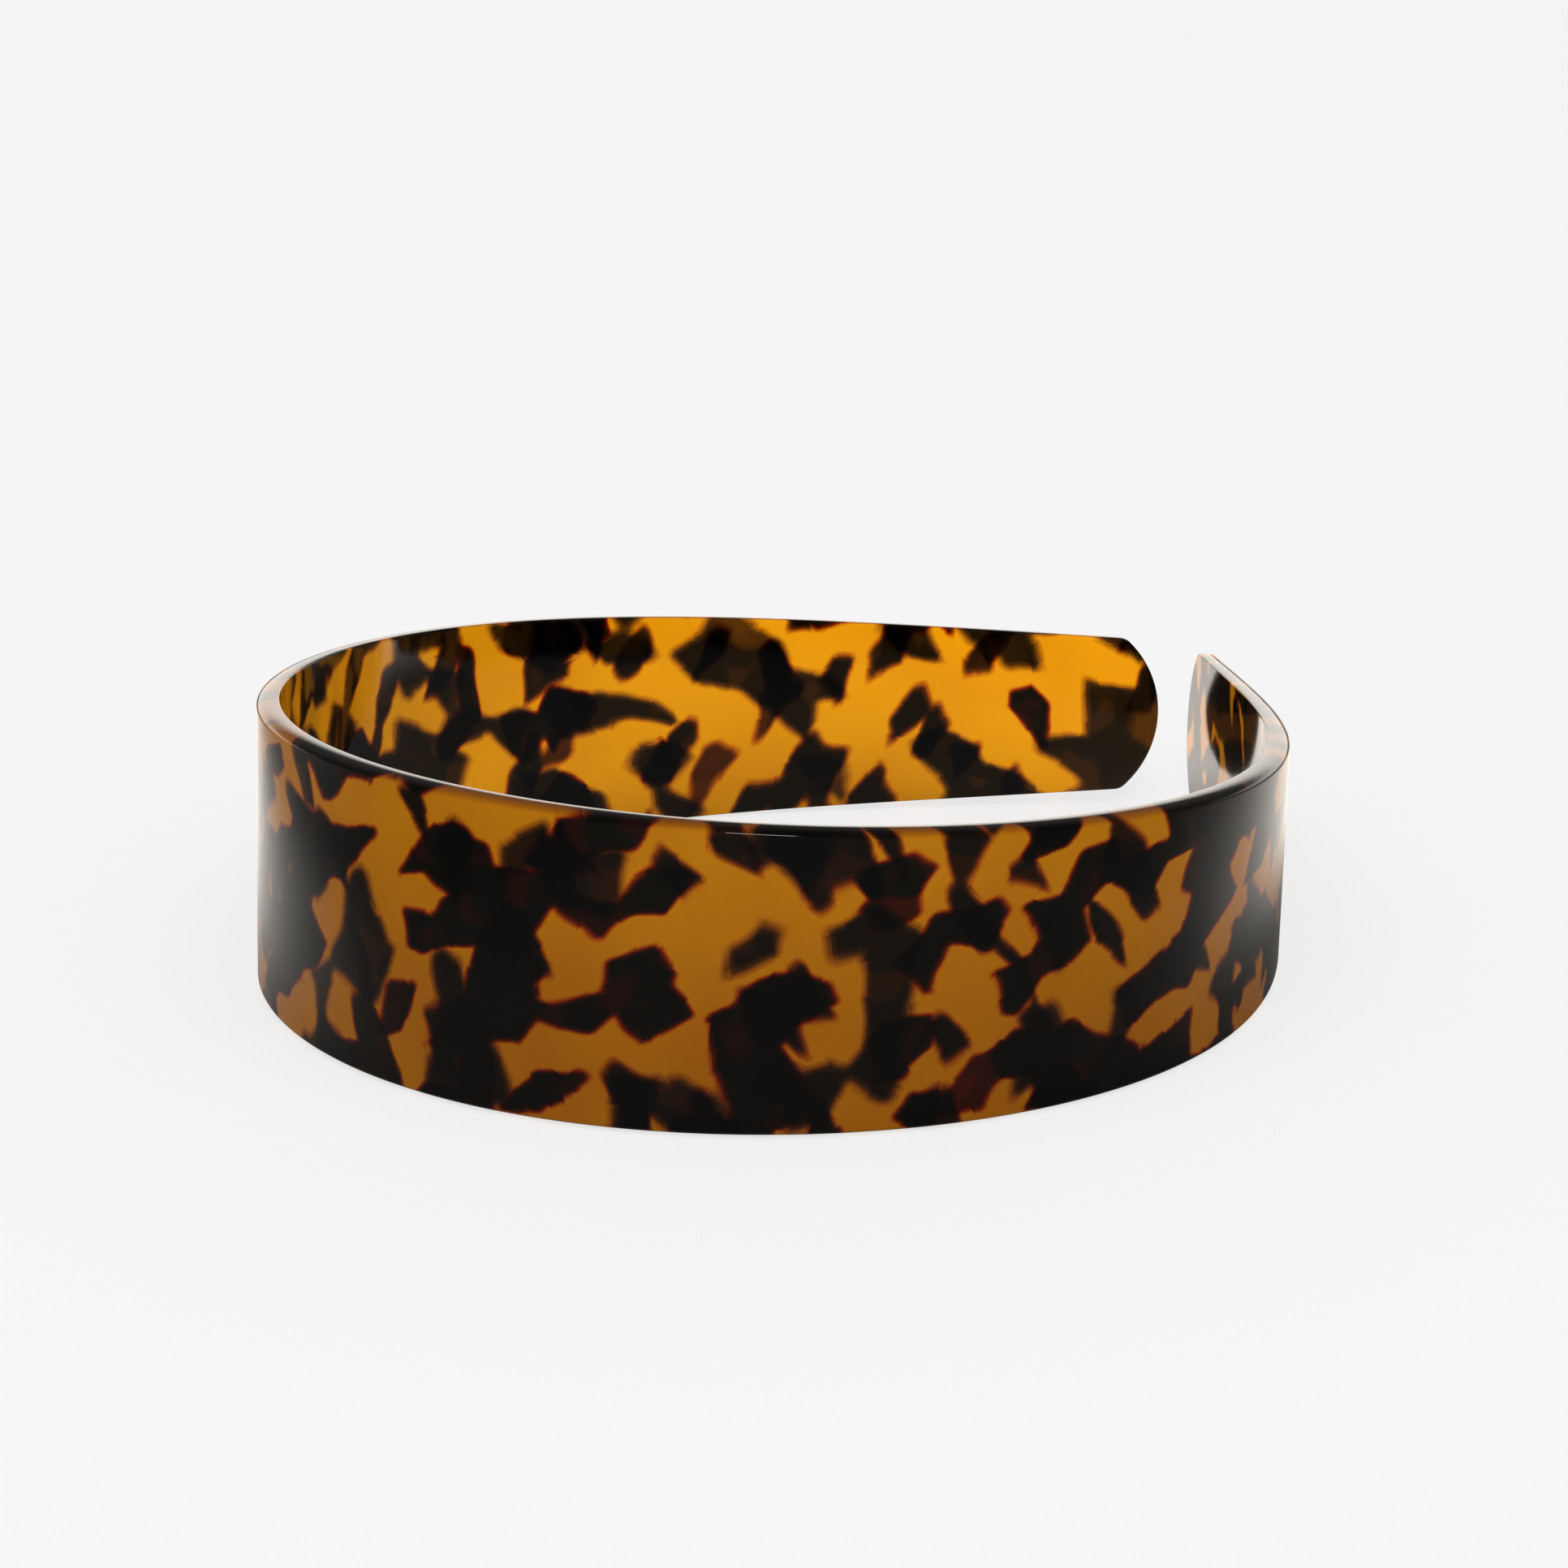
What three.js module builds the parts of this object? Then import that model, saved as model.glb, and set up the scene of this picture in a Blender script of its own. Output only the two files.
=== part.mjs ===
// A rigid hair headband: one tapered strip of cellulose acetate sheet, bent on edge into a C whose
// two rounded tips almost meet. Millimetres, +Z up. The crown faces -Y and the opening faces +Y. The
// origin is the middle of the footprint, on the surface that the band rests on.
//
// The real band is a single sheet. It is drawn here as a crown and two arms, each a closed solid,
// with a narrow gap where each arm's flex is gathered.
//
// Sheet coordinates: s runs along the sheet's middle surface from the crown's middle, positive towards
// +X; n is the distance out from that surface; z is the height above the sheet's centre line.

import * as THREE from "three";

// Sheet
const THICKNESS = 2.7;
const OUTER_ROUND = 0.7; // round-over of the outer edges
const INNER_ROUND = 0.2; // broken inner edges

// Outline of the flat strip
const CROWN_WIDTH = 35;
const TIP_WIDTH = 20.6; // where the long edges end in the tip's corners
const EDGE_LENGTH = 190.5; // from the crown's middle to those corners
const REST_FLAT = 4; // half length of the untapered stretch at the crown
const TAPER_POWER = 1.58;
const TIP_RADIUS = 13.5; // arc across the end
const CORNER_RADIUS = 2; // between that arc and a long edge

// Bend, seen from above
const CROWN_RADIUS = 58.5; // of the middle surface
const EASE_START = 88; // the curvature fades from here
const EASE_END = 188; // and is zero from here

// Flex points and resting pose
const ARM_START = 58;
const FLEX_GAP = 0.3;
const REST_TILT = 2.23; // degrees that the tips' end rocks down

// Fineness
const COLUMN = 2.5; // longest step along the sheet
const CORNER_STEPS = 4;
const TIP_STEPS = 10;
const ROUND_STEPS = 3;
const PLAN_STEP = 0.5; // of the sum that bends the sheet

const cornerHeight = TIP_WIDTH / 2 - CORNER_RADIUS;
const tipCentre = EDGE_LENGTH - Math.sqrt((TIP_RADIUS - CORNER_RADIUS) ** 2 - cornerHeight ** 2);

function halfWidth(s) {
  const along = Math.max(0, Math.abs(s) - REST_FLAT) / (EDGE_LENGTH - REST_FLAT);
  return (CROWN_WIDTH - (CROWN_WIDTH - TIP_WIDTH) * along ** TAPER_POWER) / 2;
}

// The angle that the sheet has turned through by s: its curvature is constant over the crown and fades
// to nothing as half a cosine wave.
function heading(s) {
  const reach = Math.abs(s);
  const span = EASE_END - EASE_START;
  const eased = THREE.MathUtils.clamp(reach - EASE_START, 0, span);
  const fading = (eased + (span / Math.PI) * Math.sin((Math.PI * eased) / span)) / 2;
  return (Math.sign(s) * (Math.min(reach, EASE_START) + fading)) / CROWN_RADIUS;
}

// A point of the sheet, bent into the band.
function bend(s, n, z) {
  const steps = Math.max(1, Math.ceil(Math.abs(s) / PLAN_STEP));
  const step = s / steps;
  const point = new THREE.Vector3(0, 0, z);
  for (let i = 0; i < steps; i += 1) {
    const angle = heading((i + 0.5) * step);
    point.x += Math.cos(angle) * step;
    point.y += Math.sin(angle) * step;
  }
  point.x += Math.sin(heading(s)) * n;
  point.y -= Math.cos(heading(s)) * n;
  return point;
}

// Half the sheet's section, from the inner face to the outer one: how far each line lies inside the
// outline, and its n.
function sectionLines() {
  const lines = [
    { inset: INNER_ROUND, n: -THICKNESS / 2 },
    { inset: 0, n: -THICKNESS / 2 + INNER_ROUND },
  ];
  for (let i = 0; i <= ROUND_STEPS; i += 1) {
    const angle = (i / ROUND_STEPS) * (Math.PI / 2);
    lines.push({
      inset: OUTER_ROUND * (1 - Math.cos(angle)),
      n: THICKNESS / 2 - OUTER_ROUND * (1 - Math.sin(angle)),
    });
  }
  return lines;
}

// Points of the outline's upper edge. lean is the angle of the outline's normal from +Z towards the tip.
function edgeStations(from, to) {
  const count = Math.ceil((to - from) / COLUMN);
  return Array.from({ length: count + 1 }, (_, i) => {
    const s = from + ((to - from) * i) / count;
    return { s, z: halfWidth(s), lean: 0 };
  });
}

function arcStations(centreS, centreZ, radius, fromLean, toLean, count) {
  return Array.from({ length: count }, (_, i) => {
    const lean = fromLean + ((toLean - fromLean) * (i + 1)) / count;
    return { s: centreS + radius * Math.sin(lean), z: centreZ + radius * Math.cos(lean), lean };
  });
}

function tipStations() {
  const joinLean = Math.atan2(EDGE_LENGTH - tipCentre, cornerHeight);
  const endLean = joinLean + (Math.PI / 2 - joinLean) * (1 - 0.5 / TIP_STEPS);
  return [
    ...arcStations(EDGE_LENGTH, cornerHeight, CORNER_RADIUS, 0, joinLean, CORNER_STEPS),
    ...arcStations(tipCentre, 0, TIP_RADIUS, joinLean, endLean, TIP_STEPS),
  ];
}

// The solid through a row of stations, whose s rises: a ring of points for each station, joined to the
// next ring, with the first and last rings filled in.
function solid(stations) {
  const lines = sectionLines();
  const ringSize = lines.length * 2;
  const positions = [];
  for (const station of stations) {
    const towardsTip = Math.sign(station.s);
    const upper = lines.map(({ inset, n }) => ({
      s: station.s - towardsTip * inset * Math.sin(station.lean),
      n,
      z: station.z - inset * Math.cos(station.lean),
    }));
    const lower = upper.map((p) => ({ ...p, z: -p.z })).reverse();
    for (const p of [...upper, ...lower]) positions.push(...bend(p.s, p.n, p.z));
  }

  const triangles = [];
  const quad = (a, b, c, d) => triangles.push(a, b, c, a, c, d);
  for (let i = 0; i + 1 < stations.length; i += 1) {
    for (let j = 0; j < ringSize; j += 1) {
      const here = i * ringSize;
      const next = here + ringSize;
      const beside = (j + 1) % ringSize;
      quad(here + j, here + beside, next + beside, next + j);
    }
  }
  const last = (stations.length - 1) * ringSize;
  for (let j = 0; j + 1 < lines.length; j += 1) {
    const below = ringSize - 1 - j;
    quad(j, below, below - 1, j + 1);
    quad(last + j, last + j + 1, last + below - 1, last + below);
  }

  const geometry = new THREE.BufferGeometry();
  geometry.setAttribute("position", new THREE.Float32BufferAttribute(positions, 3));
  geometry.setIndex(triangles);
  geometry.computeVertexNormals();
  return geometry;
}

function piece(name, stations) {
  const tortoiseshell = new THREE.MeshStandardMaterial({ color: 0x8a4f14, roughness: 0.12, metalness: 0 });
  const mesh = new THREE.Mesh(solid(stations), tortoiseshell);
  mesh.name = name;
  return mesh;
}

const crownReach = ARM_START - FLEX_GAP / 2;
const rightStations = [...edgeStations(ARM_START + FLEX_GAP / 2, EDGE_LENGTH), ...tipStations()];
const leftStations = rightStations.map((p) => ({ ...p, s: -p.s })).reverse();

const band = new THREE.Group();
band.add(piece("crown", edgeStations(-crownReach, crownReach)));
band.add(piece("left_arm", leftStations));
band.add(piece("right_arm", rightStations));
band.rotation.x = THREE.MathUtils.degToRad(-REST_TILT);

// Stand the rocked band on z = 0, with its footprint centred on the origin.
const box = new THREE.Box3().setFromObject(band, true);
const centre = box.getCenter(new THREE.Vector3());
band.position.set(-centre.x, -centre.y, -box.min.z);

const group = new THREE.Group();
group.add(band);

export default group;
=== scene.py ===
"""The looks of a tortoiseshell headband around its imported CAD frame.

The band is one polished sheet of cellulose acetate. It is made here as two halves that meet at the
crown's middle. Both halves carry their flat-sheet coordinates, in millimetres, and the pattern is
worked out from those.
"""

import math

import bpy
import numpy as np
from mathutils import Matrix, Vector


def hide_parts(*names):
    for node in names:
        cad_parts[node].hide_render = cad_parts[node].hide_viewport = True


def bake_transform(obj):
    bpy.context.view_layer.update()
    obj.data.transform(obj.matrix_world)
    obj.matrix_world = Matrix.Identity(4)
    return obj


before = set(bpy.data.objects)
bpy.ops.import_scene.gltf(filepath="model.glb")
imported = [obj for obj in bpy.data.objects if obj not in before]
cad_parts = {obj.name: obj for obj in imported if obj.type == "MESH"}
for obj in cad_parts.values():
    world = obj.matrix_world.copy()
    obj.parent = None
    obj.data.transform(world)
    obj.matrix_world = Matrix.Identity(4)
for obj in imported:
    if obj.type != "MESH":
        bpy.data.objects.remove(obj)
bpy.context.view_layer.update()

MM = 0.001

# ---------------------------------------------------------------------------------------------
# The sheet, in millimetres, as in the CAD model
# ---------------------------------------------------------------------------------------------

THICKNESS = 2.7
CROWN_WIDTH = 35.0
TIP_WIDTH = 20.6  # where the long edges end in the tip's corners
EDGE_LENGTH = 190.5  # from the crown's middle to those corners
REST_FLAT = 4.0  # half length of the untapered stretch at the crown
TAPER_POWER = 1.58
TIP_RADIUS = 13.5  # arc across the end
CORNER_RADIUS = 2.0  # between that arc and a long edge
CROWN_RADIUS = 58.5  # of the middle surface
EASE_START = 88.0  # the curvature fades from here
EASE_END = 188.0  # and is zero from here
REST_TILT = math.radians(2.23)

CORNER_HEIGHT = TIP_WIDTH / 2 - CORNER_RADIUS
TIP_CENTRE = EDGE_LENGTH - math.sqrt((TIP_RADIUS - CORNER_RADIUS) ** 2 - CORNER_HEIGHT**2)

# Edges
INNER_BREAK = 0.2  # radius of the inner edges
ROUND_ACROSS = 1.9  # how far the outer edges' round-over reaches across the rim
ROUND_DOWN = 0.8  # and down the face
SUPPORT = 0.12  # strips beside the rounded edges, which keep the flat faces' shading flat

# Fineness
COLUMN = 1.0  # longest step along the sheet
SEAM_COLUMN = 0.05  # the first column's width, which keeps the shading smooth across the seam
BREAK_STEPS = 3
ROUND_STEPS = 10
CORNER_STEPS = 6
TIP_STEPS = 24
PLAN_STEP = 0.25  # of the sum that bends the sheet


def half_width(s):
    along = max(0.0, s - REST_FLAT) / (EDGE_LENGTH - REST_FLAT)
    return (CROWN_WIDTH - (CROWN_WIDTH - TIP_WIDTH) * along**TAPER_POWER) / 2


def heading(s):
    """The angle that the sheet has turned through at arc length s."""
    span = EASE_END - EASE_START
    eased = np.clip(s - EASE_START, 0, span)
    fading = (eased + span / math.pi * np.sin(math.pi * eased / span)) / 2
    return (np.minimum(s, EASE_START) + fading) / CROWN_RADIUS


def bend(s, n):
    """Plan position of a sheet point at arc length s and distance n out from the middle surface."""
    steps = max(1, math.ceil(s / PLAN_STEP))
    middles = (np.arange(steps) + 0.5) * s / steps
    angles = heading(middles)
    x = np.cos(angles).sum() * s / steps
    y = np.sin(angles).sum() * s / steps
    return x + math.sin(heading(s)) * n, y - math.cos(heading(s)) * n


def section_lines():
    """Half the section, from the inner face to the outer one: (inset from the outline, n, facing).
    facing is 1 on the two faces and 0 on the rim."""
    inner, outer = -THICKNESS / 2, THICKNESS / 2
    lines = [(INNER_BREAK + SUPPORT, inner, 1.0)]
    for i in range(BREAK_STEPS + 1):
        a = i / BREAK_STEPS * math.pi / 2
        inset = INNER_BREAK * (1 - math.sin(a))
        lines.append((inset, inner + INNER_BREAK * (1 - math.cos(a)), math.cos(a)))
    for i in range(ROUND_STEPS + 1):
        a = i / ROUND_STEPS * math.pi / 2
        inset = ROUND_DOWN * (1 - math.cos(a))
        lines.append((inset, outer - ROUND_ACROSS * (1 - math.sin(a)), math.sin(a)))
    lines.append((ROUND_DOWN + SUPPORT, outer, 1.0))
    return lines


def stations():
    """Points of one half's upper outline from the seam to the tip: (s, z, lean), where lean is the
    angle of the outline's normal from +Z towards the tip."""
    count = math.ceil(EDGE_LENGTH / COLUMN)
    edge = [0.0, SEAM_COLUMN] + [EDGE_LENGTH * (i + 1) / count for i in range(count)]
    found = [(s, half_width(s), 0.0) for s in edge]
    join = math.atan2(EDGE_LENGTH - TIP_CENTRE, CORNER_HEIGHT)
    for i in range(CORNER_STEPS):
        lean = join * (i + 1) / CORNER_STEPS
        s = EDGE_LENGTH + CORNER_RADIUS * math.sin(lean)
        found.append((s, CORNER_HEIGHT + CORNER_RADIUS * math.cos(lean), lean))
    for i in range(TIP_STEPS):
        lean = join + (math.pi / 2 - join) * (i + 1) / (TIP_STEPS + 0.5)
        found.append((TIP_CENTRE + TIP_RADIUS * math.sin(lean), TIP_RADIUS * math.cos(lean), lean))
    return found


def store(mesh, name, kind, domain, field, values):
    layer = mesh.attributes.get(name) or mesh.attributes.new(name, kind, domain)
    layer.data.foreach_set(field, values)


def make_half(name, side):
    """One half of the band as a closed mesh; side is 1 towards +X and -1 towards -X."""
    lines = section_lines()
    columns = stations()
    ring = 2 * len(lines)
    points = []
    sheet = []
    facing = []
    for s, z, lean in columns:
        upper = []
        for inset, n, flat in lines:
            along = s - inset * math.sin(lean)
            height = z - inset * math.cos(lean)
            upper.append((along, height, n, flat))
        for along, height, n, flat in upper + [(a, -h, n, f) for a, h, n, f in reversed(upper)]:
            x, y = bend(along, n)
            points.append((side * x, y, height))
            sheet.append((side * along, height, n))
            facing.append(flat)

    faces = []
    for i in range(len(columns) - 1):
        for j in range(ring):
            k = (j + 1) % ring
            faces.append((i * ring + j, i * ring + k, (i + 1) * ring + k, (i + 1) * ring + j))
    cap = len(faces)
    faces.append(tuple(reversed(range(ring))))
    last = (len(columns) - 1) * ring
    for j in range(len(lines) - 1):
        below = ring - 1 - j
        faces.append((last + j, last + j + 1, last + below - 1, last + below))
    if side < 0:
        faces = [tuple(reversed(f)) for f in faces]

    mesh = bpy.data.meshes.new(name)
    mesh.from_pydata([Vector(p) for p in points], [], faces)
    store(mesh, "sheet", "FLOAT_VECTOR", "POINT", "vector", np.array(sheet).ravel())
    store(mesh, "facing", "FLOAT", "POINT", "value", facing)
    mesh.polygons[cap].material_index = 1
    mesh.shade_smooth()
    cap_points = set(faces[cap])
    sharp = [set(e.vertices) <= cap_points for e in mesh.edges]
    store(mesh, "sharp_edge", "BOOLEAN", "EDGE", "value", sharp)
    half = bpy.data.objects.new(name, mesh)
    bpy.context.scene.collection.objects.link(half)
    return half


def seat_halves(halves):
    """Rocks the band onto its tips' side and stands it where the CAD model stands."""
    tilt = Matrix.Rotation(-REST_TILT, 4, "X")
    for half in halves:
        half.data.transform(tilt)
    every = np.array([v.co for half in halves for v in half.data.vertices])
    lowest, highest = every.min(0), every.max(0)
    shift = Vector((0, -(lowest[1] + highest[1]) / 2, -lowest[2]))
    for half in halves:
        half.data.transform(Matrix.Scale(MM, 4) @ Matrix.Translation(shift))
        half.data.update()


# ---------------------------------------------------------------------------------------------
# Node trees
# ---------------------------------------------------------------------------------------------


class Graph:
    """Short calls for building a node tree. Inputs are numbers, tuples or other nodes' sockets."""

    def __init__(self, tree):
        self.tree = tree
        tree.nodes.clear()

    def node(self, kind, inputs=None, **settings):
        made = self.tree.nodes.new(kind)
        for key, value in settings.items():
            setattr(made, key, value)
        for key, value in (inputs or {}).items():
            self.feed(made.inputs[key], value)
        return made

    def feed(self, socket, value):
        if isinstance(value, bpy.types.NodeSocket):
            self.tree.links.new(value, socket)
        else:
            socket.default_value = value

    def math(self, operation, a, b=0.0, c=0.0):
        return self.node("ShaderNodeMath", {0: a, 1: b, 2: c}, operation=operation).outputs[0]

    def vector(self, operation, a, b=(0, 0, 0), scale=1.0):
        made = self.node("ShaderNodeVectorMath", {0: a, 1: b, 3: scale}, operation=operation)
        return made.outputs[1 if operation in ("DOT_PRODUCT", "LENGTH") else 0]

    def remap(self, value, low, high, to_low=0.0, to_high=1.0, smooth=False):
        made = self.node(
            "ShaderNodeMapRange",
            {"Value": value, "From Min": low, "From Max": high, "To Min": to_low, "To Max": to_high},
            interpolation_type="SMOOTHSTEP" if smooth else "LINEAR",
        )
        return made.outputs["Result"]

    def choose(self, flag, other, usual):
        """A number that is other where flag is 1, and usual where it is 0."""
        return self.math("MULTIPLY_ADD", flag, self.math("SUBTRACT", other, usual), usual)

    def mix(self, factor, a, b, blend="MIX"):
        made = self.node("ShaderNodeMix", data_type="RGBA", blend_type=blend)
        for index, value in ((0, factor), (6, a), (7, b)):
            if isinstance(value, tuple):
                value = (*value, 1.0)
            self.feed(made.inputs[index], value)
        return made.outputs[2]

    def ramp(self, value, stops):
        made = self.node("ShaderNodeValToRGB", {"Fac": value})
        elements = made.color_ramp.elements
        while len(elements) < len(stops):
            elements.new(0.5)
        for element, (position, colour) in zip(elements, stops):
            element.position = position
            element.color = (*colour, 1.0)
        return made.outputs["Color"]

    def noise(self, place, scale, output="Fac", detail=1.0, roughness=0.5):
        made = self.node(
            "ShaderNodeTexNoise",
            {"Vector": place, "Scale": scale, "Detail": detail, "Roughness": roughness},
        )
        return made.outputs[output]

    def cells(self, place, scale):
        """A random colour for each cell of a flat Voronoi pattern."""
        made = self.node(
            "ShaderNodeTexVoronoi",
            {"Vector": place, "Scale": scale},
            voronoi_dimensions="2D",
        )
        return made.outputs["Color"]

    def push(self, colour, size):
        """A step of up to half of size each way, in the direction that a random colour gives."""
        return self.vector("SCALE", self.vector("SUBTRACT", colour, (0.5, 0.5, 0.5)), scale=size)

    def shade(self, factor, a, b):
        return self.node("ShaderNodeMixShader", {0: factor, 1: a, 2: b}).outputs[0]

    def attribute(self, name, output):
        return self.node("ShaderNodeAttribute", attribute_name=name).outputs[output]


# A fade is (from, to, value at from, value at to).

# ---------------------------------------------------------------------------------------------
# Tortoiseshell acetate. Lengths are in millimetres, and a pattern's scale is per millimetre
# ---------------------------------------------------------------------------------------------

WHITE = (1.0, 1.0, 1.0)
AMBER = (0.47, 0.127, 0.0025)
AMBER_CLOUD = (0.43, 0.107, 0.0025)
AMBER_GLOW = (0.76, 0.335, 0.004)
GLOW_CLOUD = (0.71, 0.30, 0.004)
EDGE_SHADE = (0.55, 0.45, 0.45)  # the sheet's edge, which light crosses the long way, is darker
GLOW_SHARE = 0.5  # how much of the body's light comes through the sheet
CLOUD_SCALE = 0.08
CLOUD_FADE = (0.42, 0.68, 0.0, 1.0)

# The polished face
ROUGHNESS = 0.06
IOR = 1.48
HEAD_ON = 0.0375  # the sheet's mirror strength, seen head on
WAVE_SCALE = 0.09
WAVE_HEIGHT = 0.00005  # in metres

# Dark flakes lie in three layers of the sheet: height is where across the thickness, cell and stretch
# are the flakes' size and shape, turn is the stretch's direction, share is how much of the layer they
# fill, slant is how far their sides lean for each millimetre across the thickness, and seed is where
# in the endless pattern the layer lies.
LAYERS = [
    dict(height=1.2, cell=5.6, stretch=1.25, turn=0.5, share=0.455, slant=(0.5, 0.3), seed=45.6),
    dict(height=0.1, cell=4.4, stretch=1.4, turn=2.1, share=0.23, slant=(-0.6, 0.4), seed=24.9),
    dict(height=-1.2, cell=5.2, stretch=1.2, turn=1.2, share=0.175, slant=(0.3, -0.7), seed=52.6),
]
SEED_UPWARDS = 1.7  # how many times further a seed moves the pattern up the sheet than along it
THIN_SHARE = 0.06  # of the flakes, how many are thin enough to glow red-brown
THIN_COVER = 0.71  # how much a thin flake covers

# Each layer is read at several places around a point, which blurs its flakes.
TAPS = 16
GOLDEN_ANGLE = math.pi * (3 - math.sqrt(5))
NEAR_BLUR = 0.5  # radius of those places for flakes at the surface
FAR_BLUR = 0.85  # and for flakes at the far side of the sheet

# The flakes' outlines wobble gently, are chipped straight, and in rough spots are torn.
WOBBLE_SCALE = 0.16
WOBBLE_ROUGHNESS = 0.4
WOBBLE_SIZE = 2.4
TEAR_SCALE = 0.9
TEAR_ROUGHNESS = 0.6
ROUGH_SPOT_SCALE = 0.14
TEAR_SIZE_FADE = (0.48, 0.62, 0.02, 0.14)
CHIP_SCALE = 0.33
CHIP_SIZE = 0.34
DENSITY_SCALE = 0.2
DENSITY_FADE = (0.34, 0.46, 0.9, 1.0)

# What is left of the light that passes a layer, by how much of it the flakes cover.
NEAR_FLAKES = [
    (0.0, WHITE),
    (0.18, (0.80, 0.42, 0.4)),
    (0.42, (0.30, 0.050, 0.15)),
    (0.68, (0.07, 0.014, 0.10)),
    (1.0, (0.004, 0.008, 0.20)),
]
DEEP_FLAKES = [
    (0.0, WHITE),
    (0.3, (0.58, 0.46, 0.9)),
    (0.65, (0.10, 0.085, 0.7)),
    (1.0, (0.014, 0.018, 0.4)),
]


def new_material(name):
    material = bpy.data.materials.new(name)
    material.use_nodes = True
    return material, Graph(material.node_tree)


def flake_layer(g, place, n, density, layer):
    """How much one layer's flakes cover, and how deep the layer lies, from 0 to about 1."""
    slant = g.vector("SCALE", (*layer["slant"], 0.0), scale=n)
    base = g.node(
        "ShaderNodeMapping",
        {
            "Vector": g.vector("ADD", place, slant),
            "Location": (layer["seed"], layer["seed"] * SEED_UPWARDS, 0.0),
            "Rotation": (0.0, 0.0, layer["turn"]),
            "Scale": (layer["stretch"], 1 / layer["stretch"], 1.0),
        },
        vector_type="TEXTURE",
    ).outputs[0]
    depth = g.math("DIVIDE", g.math("ABSOLUTE", g.math("SUBTRACT", n, layer["height"])), THICKNESS)
    blur = g.remap(depth, 0.0, 1.0, NEAR_BLUR, FAR_BLUR)
    total = 0.0
    for i in range(TAPS):
        reach = math.sqrt((i + 0.5) / TAPS)
        angle = i * GOLDEN_ANGLE
        offset = (reach * math.cos(angle), reach * math.sin(angle), 0.0)
        tap = g.vector("ADD", base, g.vector("SCALE", offset, scale=blur))
        colour = g.cells(tap, 1 / layer["cell"])
        draw = g.node("ShaderNodeSeparateColor", {"Color": colour}).outputs[0]
        dark = g.math("LESS_THAN", draw, layer["share"])
        thin = g.math("LESS_THAN", draw, THIN_SHARE * layer["share"])
        total = g.math("ADD", total, dark)
        total = g.math("MULTIPLY_ADD", thin, THIN_COVER - 1.0, total)
    return g.math("MULTIPLY", total, g.math("DIVIDE", density, TAPS)), depth


def tortoiseshell():
    material, g = new_material("tortoiseshell")
    sheet = g.attribute("sheet", "Vector")
    facing = g.attribute("facing", "Fac")
    n = g.node("ShaderNodeSeparateXYZ", {"Vector": sheet}).outputs["Z"]

    wobble = g.noise(sheet, WOBBLE_SCALE, "Color", roughness=WOBBLE_ROUGHNESS)
    torn = g.noise(sheet, TEAR_SCALE, "Color", roughness=TEAR_ROUGHNESS)
    tear_size = g.remap(g.noise(sheet, ROUGH_SPOT_SCALE, detail=0.0), *TEAR_SIZE_FADE)
    pushes = g.vector("ADD", g.push(wobble, WOBBLE_SIZE), g.push(torn, tear_size))
    place = g.vector("ADD", sheet, pushes)
    place = g.vector("ADD", place, g.push(g.cells(place, CHIP_SCALE), CHIP_SIZE))
    density = g.remap(g.noise(sheet, DENSITY_SCALE), *DENSITY_FADE, smooth=True)

    cloud = g.remap(g.noise(sheet, CLOUD_SCALE), *CLOUD_FADE)
    edge_shade = g.mix(facing, EDGE_SHADE, WHITE)
    skin_colour = g.mix(1.0, g.mix(cloud, AMBER, AMBER_CLOUD), edge_shade, "MULTIPLY")
    glow_colour = g.mix(1.0, g.mix(cloud, AMBER_GLOW, GLOW_CLOUD), edge_shade, "MULTIPLY")
    for layer in LAYERS:
        cover, depth = flake_layer(g, place, n, density, layer)
        left = g.mix(depth, g.ramp(cover, NEAR_FLAKES), g.ramp(cover, DEEP_FLAKES))
        skin_colour = g.mix(1.0, skin_colour, left, "MULTIPLY")
        glow_colour = g.mix(1.0, glow_colour, left, "MULTIPLY")

    waves = g.noise(sheet, WAVE_SCALE)
    bump = g.node("ShaderNodeBump", {"Height": waves, "Strength": 1.0, "Distance": WAVE_HEIGHT})
    normal = bump.outputs["Normal"]
    skin = g.node("ShaderNodeBsdfPrincipled", {
        "Base Color": skin_colour,
        "Roughness": ROUGHNESS,
        "IOR": IOR,
        "Specular IOR Level": 1.0,
        "Normal": normal,
    })
    # Seen head on, only the skin mirrors its surroundings. At a slant, the glow's share does so too.
    glow = g.node("ShaderNodeBsdfTranslucent", {"Color": glow_colour})
    polish = g.node("ShaderNodeBsdfGlossy", {
        "Color": (*WHITE, 1.0),
        "Roughness": ROUGHNESS,
        "Normal": normal,
    })
    mirror = g.node("ShaderNodeFresnel", {"IOR": IOR, "Normal": normal})
    grazing = g.remap(mirror.outputs[0], HEAD_ON, 1.0)
    polished_glow = g.shade(grazing, glow.outputs[0], polish.outputs[0])
    body = g.shade(GLOW_SHARE, skin.outputs[0], polished_glow)
    # Light that has come into the sheet leaves it freely.
    inside = g.node("ShaderNodeNewGeometry").outputs["Backfacing"]
    clear = g.node("ShaderNodeBsdfTransparent")
    surface = g.shade(inside, body, clear.outputs[0])
    g.node("ShaderNodeOutputMaterial", {"Surface": surface})
    return material


def join_material():
    """The faces where the two halves meet inside the sheet, which don't show."""
    material, g = new_material("join")
    clear = g.node("ShaderNodeBsdfTransparent")
    g.node("ShaderNodeOutputMaterial", {"Surface": clear.outputs[0]})
    return material


# ---------------------------------------------------------------------------------------------
# Stage, light and camera, in metres
# ---------------------------------------------------------------------------------------------

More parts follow.
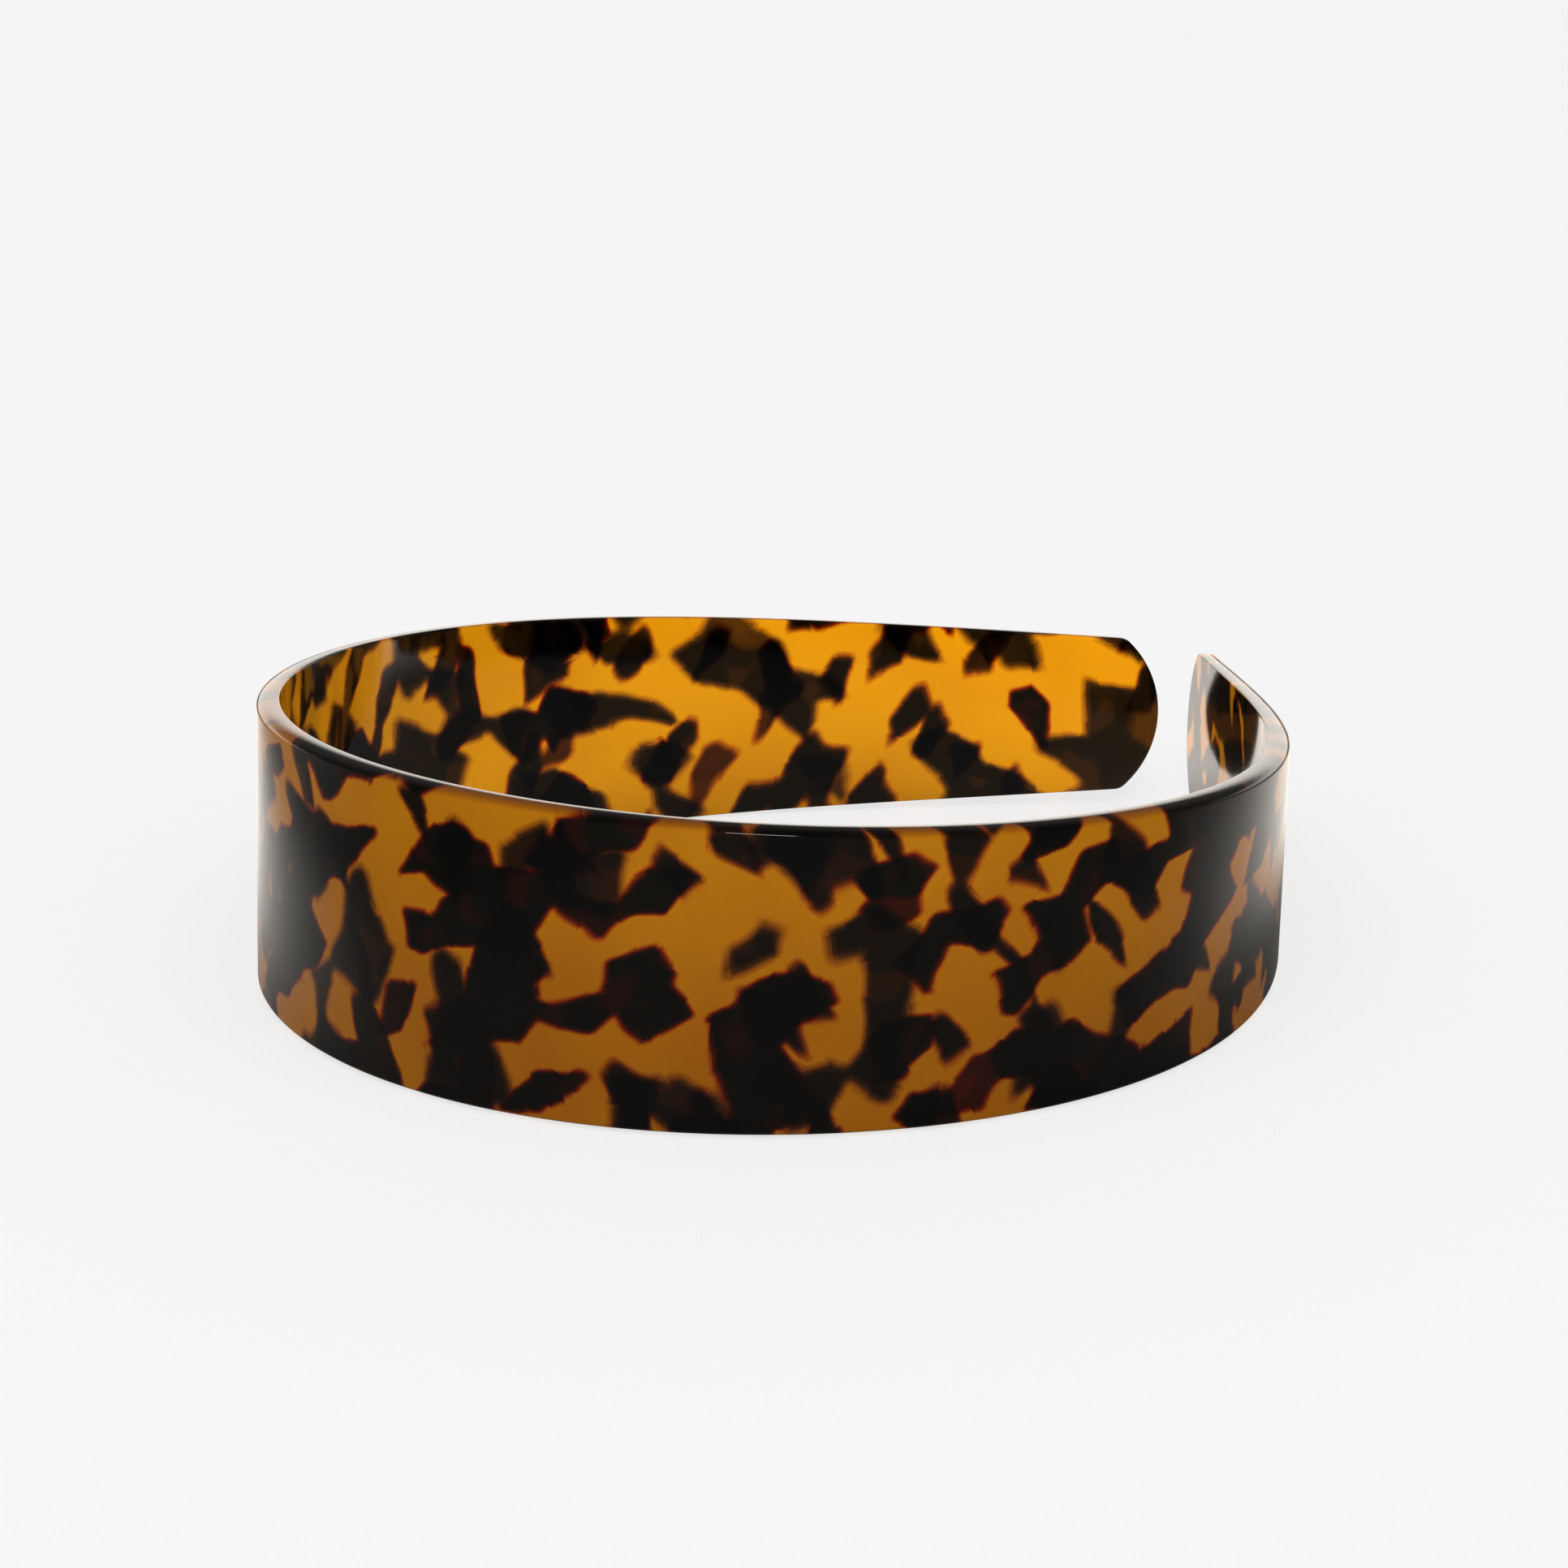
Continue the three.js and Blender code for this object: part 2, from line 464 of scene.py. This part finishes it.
VIEW_AZIMUTH = math.radians(39.7)
VIEW_ELEVATION = math.radians(16.24)
CAMERA_DISTANCE = 0.5203
CAMERA_LENS = 99.2  # in millimetres, as the sensor's width is
SENSOR_WIDTH = 36.0
CAMERA_TARGET = Vector((-0.0056, -0.0026, 0.0184))
AWAY = Vector((-math.sin(VIEW_AZIMUTH), math.cos(VIEW_AZIMUTH), 0.0))  # level, from the camera

LAMP_SIZE = (0.25, 0.05)
LAMP_POWER = 1.5  # in watts
LAMP_DISTANCE = 0.9
LAMP_HEIGHT = 0.65

# Scattered rays meet the soft light and mirrored rays meet the gloss light.
PALE = 0.905  # the backdrop, as the camera sees it
VEIL = 0.075  # the faint light that every mirrored ray meets
WARM = (1.0, 0.95, 0.87)

# Light of the backdrop, by how far a direction points away from the camera, and by its height
SOFT_FRONT_FADE = (-0.6, 0.2, 1.2, 0.29)
SOFT_BACK_FADE = (0.4, 0.95, 0.0, 6.0)
SOFT_HEIGHT_FADE = (0.02, 0.25, 1.0, 0.08)
GLOSS_BACK_FADE = (0.35, 0.95, 0.05, 1.7)
GLOSS_HEIGHT_FADE = (0.17, 0.34, 1.0, 0.03)

# Light of the floor, by how far a place is beyond the object's middle, how far from it, and how far
# to either side
FLOOR_BACK_FADE = (-0.06, 0.06, 0.08, 1.4)
FLOOR_RADIUS_FADE = (0.055, 0.085, 0.08, 1.0)
FLOOR_GLOSS_SIDE_FADE = (0.085, 0.15, 0.85, 0.12)
FLOOR_SOFT_SIDE_FADE = (0.045, 0.11, 2.45, 0.12)

# The floor, as the camera sees it
FLOOR_REACH = 6.0
FLOOR_COLOUR = (0.8, 0.8, 0.8)
FLOOR_GLOW = 1.08
FLOOR_GLOW_SHARE = 0.65


def make_camera():
    back = Vector((
        math.sin(VIEW_AZIMUTH) * math.cos(VIEW_ELEVATION),
        -math.cos(VIEW_AZIMUTH) * math.cos(VIEW_ELEVATION),
        math.sin(VIEW_ELEVATION),
    ))
    camera = bpy.data.objects.new("camera", bpy.data.cameras.new("camera"))
    camera.data.lens = CAMERA_LENS
    camera.data.sensor_width = SENSOR_WIDTH
    camera.location = CAMERA_TARGET + back * CAMERA_DISTANCE
    camera.rotation_euler = (-back).to_track_quat("-Z", "Y").to_euler()
    bpy.context.scene.collection.objects.link(camera)
    bpy.context.scene.camera = camera


def make_world():
    world = bpy.data.worlds.new("studio")
    world.use_nodes = True
    bpy.context.scene.world = world
    g = Graph(world.node_tree)
    direction = g.node("ShaderNodeTexCoord").outputs["Generated"]
    away = g.vector("DOT_PRODUCT", direction, tuple(AWAY))
    height = g.node("ShaderNodeSeparateXYZ", {"Vector": direction}).outputs["Z"]
    soft_front = g.remap(away, *SOFT_FRONT_FADE, smooth=True)
    soft_back = g.remap(away, *SOFT_BACK_FADE, smooth=True)
    soft_low = g.remap(height, *SOFT_HEIGHT_FADE, smooth=True)
    soft = g.math("ADD", soft_front, g.math("MULTIPLY", soft_back, soft_low))
    gloss_back = g.remap(away, *GLOSS_BACK_FADE, smooth=True)
    gloss_low = g.remap(g.math("ABSOLUTE", height), *GLOSS_HEIGHT_FADE, smooth=True)
    gloss = g.math("MULTIPLY_ADD", gloss_back, gloss_low, VEIL)
    rays = g.node("ShaderNodeLightPath")
    is_gloss = rays.outputs["Is Glossy Ray"]
    strength = g.choose(is_gloss, gloss, soft)
    strength = g.choose(rays.outputs["Is Camera Ray"], PALE, strength)
    tint = g.mix(is_gloss, WHITE, WARM)
    backdrop = g.node("ShaderNodeBackground", {"Color": tint, "Strength": strength})
    g.node("ShaderNodeOutputWorld", {"Surface": backdrop.outputs[0]})


def make_floor():
    mesh = bpy.data.meshes.new("floor")
    corners = [(x * FLOOR_REACH, y * FLOOR_REACH, 0) for x, y in ((-1, -1), (1, -1), (1, 1), (-1, 1))]
    mesh.from_pydata(corners, [], [(0, 1, 2, 3)])
    floor = bpy.data.objects.new("floor", mesh)
    bpy.context.scene.collection.objects.link(floor)
    material, g = new_material("floor")
    place = g.node("ShaderNodeNewGeometry").outputs["Position"]
    away = g.vector("DOT_PRODUCT", place, tuple(AWAY))
    aside = g.math("ABSOLUTE", g.vector("DOT_PRODUCT", place, (AWAY.y, -AWAY.x, 0.0)))
    radius = g.vector("LENGTH", place)
    beyond = g.remap(away, *FLOOR_BACK_FADE, smooth=True)
    level = g.math("MULTIPLY", beyond, g.remap(radius, *FLOOR_RADIUS_FADE, smooth=True))
    gloss_side = g.remap(aside, *FLOOR_GLOSS_SIDE_FADE, smooth=True)
    gloss = g.math("MULTIPLY_ADD", level, gloss_side, VEIL)
    soft = g.math("MULTIPLY", level, g.remap(aside, *FLOOR_SOFT_SIDE_FADE, smooth=True))
    rays = g.node("ShaderNodeLightPath")
    strength = g.choose(rays.outputs["Is Glossy Ray"], gloss, soft)
    shine = g.node("ShaderNodeEmission", {"Color": (*WARM, 1.0), "Strength": strength})
    matt = g.node("ShaderNodeBsdfDiffuse", {"Color": (*FLOOR_COLOUR, 1.0)})
    pale = g.node("ShaderNodeEmission", {"Color": (*WHITE, 1.0), "Strength": FLOOR_GLOW})
    seen = g.shade(FLOOR_GLOW_SHARE, matt.outputs[0], pale.outputs[0])
    surface = g.shade(rays.outputs["Is Camera Ray"], shine.outputs[0], seen)
    g.node("ShaderNodeOutputMaterial", {"Surface": surface})
    mesh.materials.append(material)


def make_lamp():
    lamp = bpy.data.lights.new("edge_light", "AREA")
    lamp.shape = "RECTANGLE"
    lamp.size, lamp.size_y = LAMP_SIZE
    lamp.energy = LAMP_POWER
    item = bpy.data.objects.new("edge_light", lamp)
    spot = Vector((0.0, 0.0, LAMP_HEIGHT)) - AWAY * LAMP_DISTANCE
    item.location = spot
    item.rotation_euler = (-spot).to_track_quat("-Z", "Y").to_euler()
    bpy.context.scene.collection.objects.link(item)


bpy.context.scene.view_settings.view_transform = "Standard"
make_camera()
make_world()
make_floor()
make_lamp()

halves = [make_half("band_left", -1), make_half("band_right", 1)]
seat_halves(halves)
shell = tortoiseshell()
hidden = join_material()
for half, arm, side in zip(halves, ("left_arm", "right_arm"), (-1, 1)):
    half.data.materials.append(shell)
    half.data.materials.append(hidden)
    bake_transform(half)
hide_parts("crown", "left_arm")
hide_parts("crown", "right_arm")
